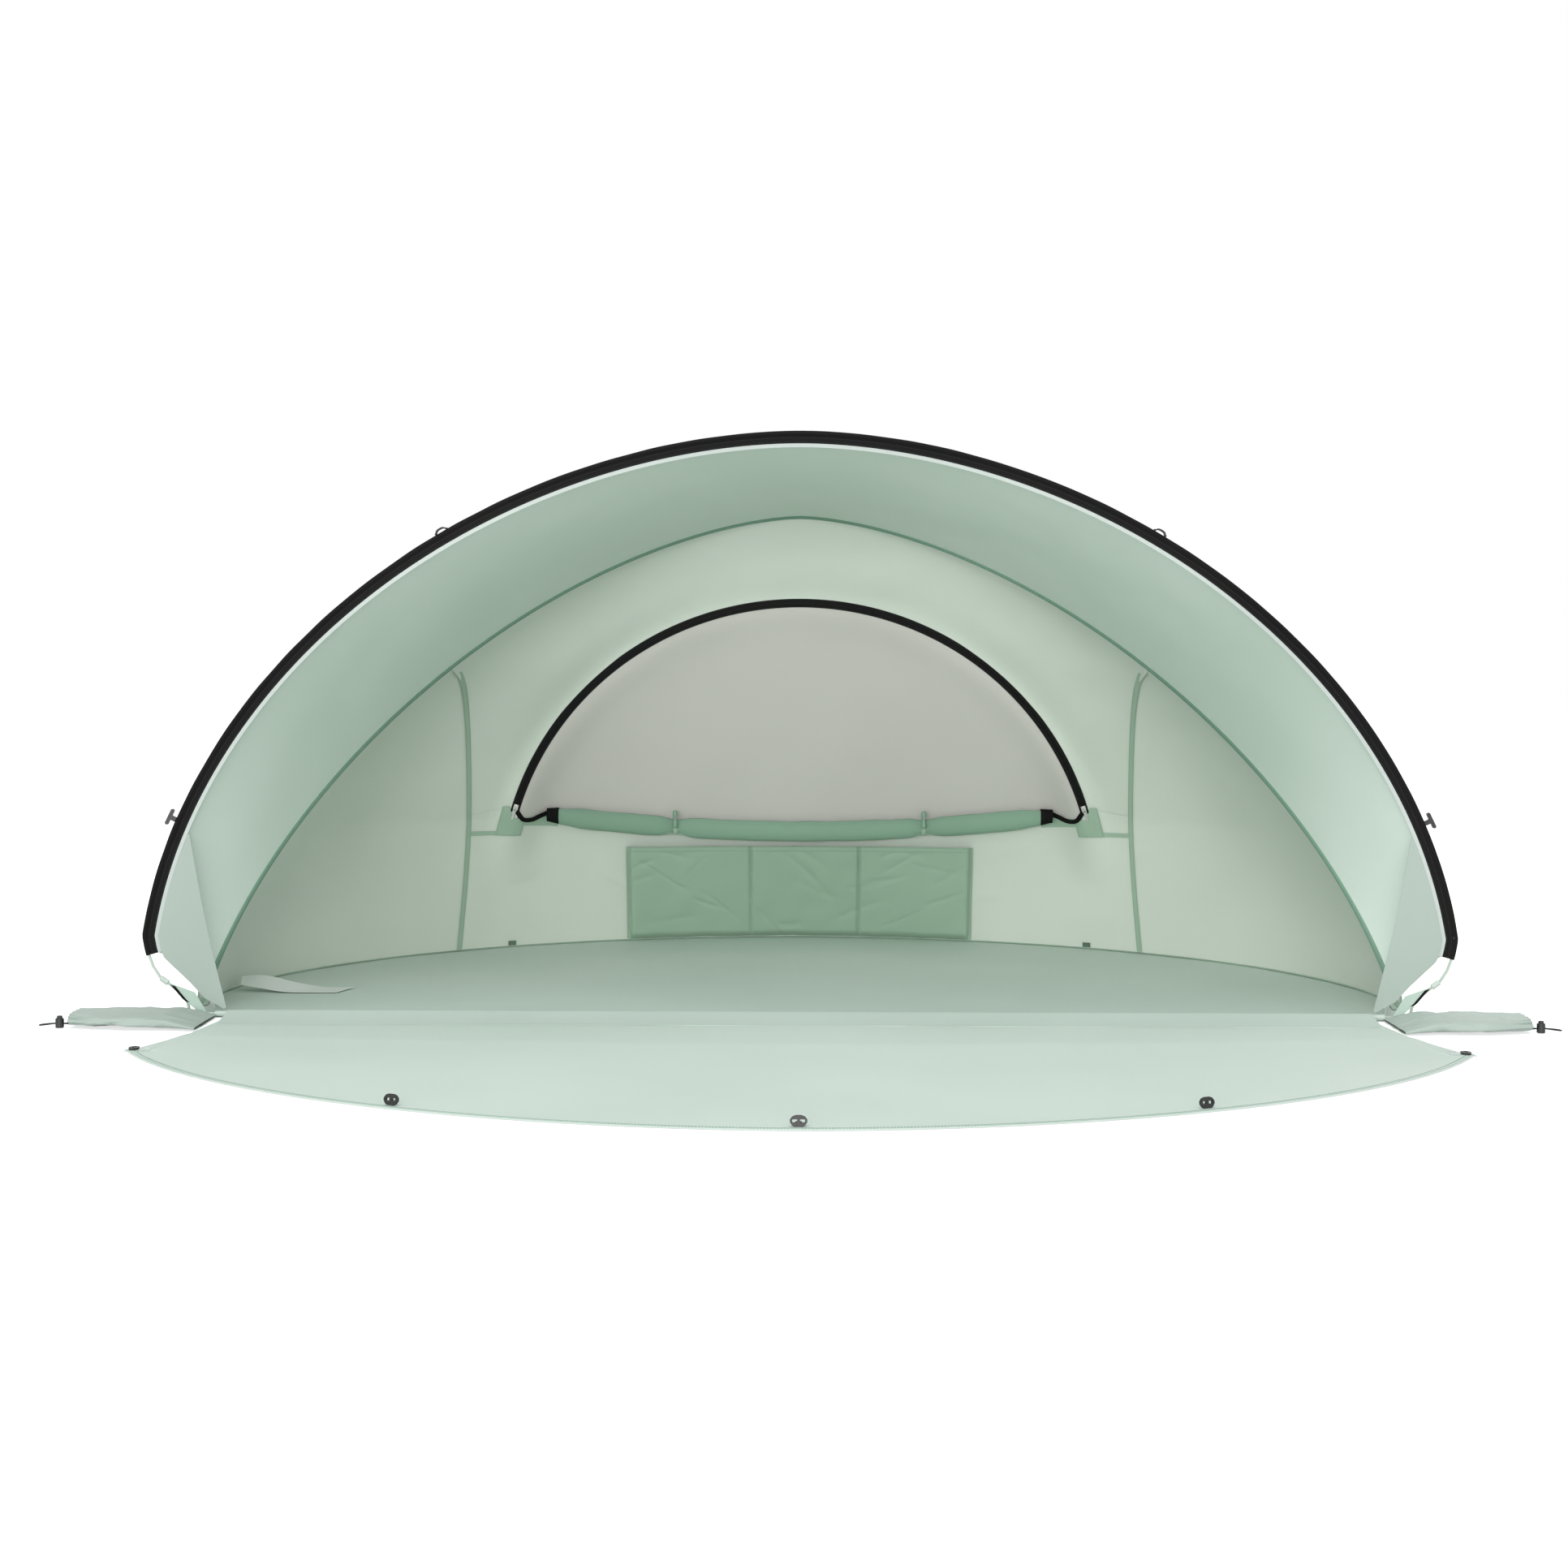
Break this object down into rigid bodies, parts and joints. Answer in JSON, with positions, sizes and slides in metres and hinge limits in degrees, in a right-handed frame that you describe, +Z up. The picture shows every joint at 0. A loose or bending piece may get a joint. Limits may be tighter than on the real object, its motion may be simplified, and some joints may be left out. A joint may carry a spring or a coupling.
{
  "type": "beach tent",
  "caption": "Pop-up beach shelter on two sprung hoops, with a lined floor, a zipped rear window, a storage pocket, sand pockets and a fold-out porch.",
  "frame": {"origin": "middle of the hem line between floor and porch, on the underside of the floor sheet", "axes": "+X to the tent's right seen from its open front, +Y towards the rear wall, +Z up"},
  "size_m": [2.3678, 2.1506, 0.9386],
  "materials": {
    "mint": "coated polyester weave",
    "dark_mint": "polyester weave, a darker mint",
    "black_cloth": "black polyester",
    "black_plastic": "moulded, satin",
    "netting": "fine grey netting",
    "glass_fibre": "pultruded glass fibre",
    "steel": "plated",
    "silver_coat": "silver-coated hem",
    "white_cloth": "plain satin",
    "elastic": "covered elastic",
    "black_cord": "braided cord"
  },
  "bodies": {
    "shell": {"floor": "mint", "hem_sleeve": "mint", "hem_rod": "glass_fibre", "rear_edge_rod_left": "glass_fibre", "rear_edge_rod_right": "glass_fibre", "rear_edge_ferrule": "steel", "rear_edge_sleeve": "dark_mint", "rear_wall_upper": "mint", "rear_wall_lower": "mint", "side_wall_left": "mint", "side_wall_right": "mint", "mesh_window": "netting", "window_zip": "black_cloth", "storage_pocket": "dark_mint", "crossing_tab_left": "mint", "crossing_tab_right": "mint", "sand_pocket_left": "mint", "sand_pocket_right": "mint", "sand_pocket_cord_left": "black_cord", "sand_pocket_cord_right": "black_cord", "cord_lock_left": "black_plastic", "cord_lock_right": "black_plastic", "peg_loop_left": "black_cloth", "peg_loop_right": "black_cloth", "cloth_tag": "white_cloth"},
    "rear_arch": {"rear_arch_rod": "glass_fibre", "rear_arch_sleeve": "dark_mint", "roof_canopy": "mint"},
    "front_arch": {"front_arch_rod": "glass_fibre", "front_arch_sleeve": "black_cloth", "front_hem_strip": "silver_coat", "wing_left": "mint", "wing_right": "mint", "rod_guide_left": "mint", "rod_guide_right": "mint", "arch_toggle_left": "black_plastic", "arch_toggle_right": "black_plastic", "arch_loop_left": "black_cloth", "arch_loop_right": "black_cloth"},
    "window_sill": {"rolled_flap": "dark_mint", "flap_tie_left": "dark_mint", "flap_tie_right": "dark_mint", "flap_toggle_left": "black_plastic", "flap_toggle_right": "black_plastic"},
    "porch": {"porch_panel": "mint", "porch_hem": "dark_mint", "porch_hook_middle": "black_plastic", "porch_hook_left": "black_plastic", "porch_hook_right": "black_plastic", "corner_elastic_left": "elastic", "corner_elastic_right": "elastic", "corner_hook_left": "black_plastic", "corner_hook_right": "black_plastic"},
    "zip_slider_left": {"zip_slider_left": "steel"},
    "zip_pull_left": {"zip_pull_left": "steel"},
    "plunger_left": {"cord_lock_plunger_left": "black_plastic"},
    "zip_slider_right": {"zip_slider_right": "steel"},
    "zip_pull_right": {"zip_pull_right": "steel"},
    "plunger_right": {"cord_lock_plunger_right": "black_plastic"}
  },
  "joints": [
    {"name": "rear_arch_fold", "type": "hinge", "parent": "shell", "child": "rear_arch", "pos_m": [0, 0, 0.0063], "axis": [1, 0, 0], "range_deg": [-40, 0], "stiffness_Nm_per_rad": 10, "springref_deg": 34.38, "deforming": ["rear_wall_upper", "rear_wall_lower", "side_wall_left", "side_wall_right", "mesh_window", "window_zip", "storage_pocket"]},
    {"name": "front_arch_fold", "type": "hinge", "parent": "rear_arch", "child": "front_arch", "pos_m": [0, 0, 0.0063], "axis": [1, 0, 0], "range_deg": [-39, 0], "stiffness_Nm_per_rad": 6, "springref_deg": 28.65, "deforming": ["roof_canopy"]},
    {"name": "window_sill_fold", "type": "hinge", "parent": "shell", "child": "window_sill", "pos_m": [0, 0, 0.0063], "axis": [1, 0, 0], "range_deg": [-11.5, 0]},
    {"name": "porch_fold", "type": "hinge", "parent": "shell", "child": "porch", "pos_m": [0, 0, 0.0063], "axis": [-1, 0, 0], "range_deg": [0, 82]},
    {"name": "zip_slide_left", "type": "hinge", "parent": "window_sill", "child": "zip_slider_left", "pos_m": [0, 0.95739, 0.10376], "axis": [0, 0.9903, 0.1392], "range_deg": [0, 69]},
    {"name": "pull_swing_left", "type": "hinge", "parent": "zip_slider_left", "child": "zip_pull_left", "pos_m": [-0.56238, 0.92522, 0.28596], "axis": [-0.95, -0.0435, 0.3093], "range_deg": [0, 150]},
    {"name": "lock_press_left", "type": "slide", "parent": "shell", "child": "plunger_left", "axis": [0, 0, -1], "range_m": [0, 0.0032], "stiffness_N_per_m": 500, "springref_m": -0.002},
    {"name": "zip_slide_right", "type": "hinge", "parent": "window_sill", "child": "zip_slider_right", "pos_m": [0, 0.95739, 0.10376], "axis": [0, -0.9903, -0.1392], "range_deg": [0, 69]},
    {"name": "pull_swing_right", "type": "hinge", "parent": "zip_slider_right", "child": "zip_pull_right", "pos_m": [0.56238, 0.92522, 0.28596], "axis": [-0.95, 0.0435, -0.3093], "range_deg": [0, 150]},
    {"name": "lock_press_right", "type": "slide", "parent": "shell", "child": "plunger_right", "axis": [0, 0, -1], "range_m": [0, 0.0032], "stiffness_N_per_m": 500, "springref_m": -0.002}
  ],
  "couplings": [
    {"joint": "window_sill_fold", "follows": "rear_arch_fold", "ratio": 0.28}
  ]
}
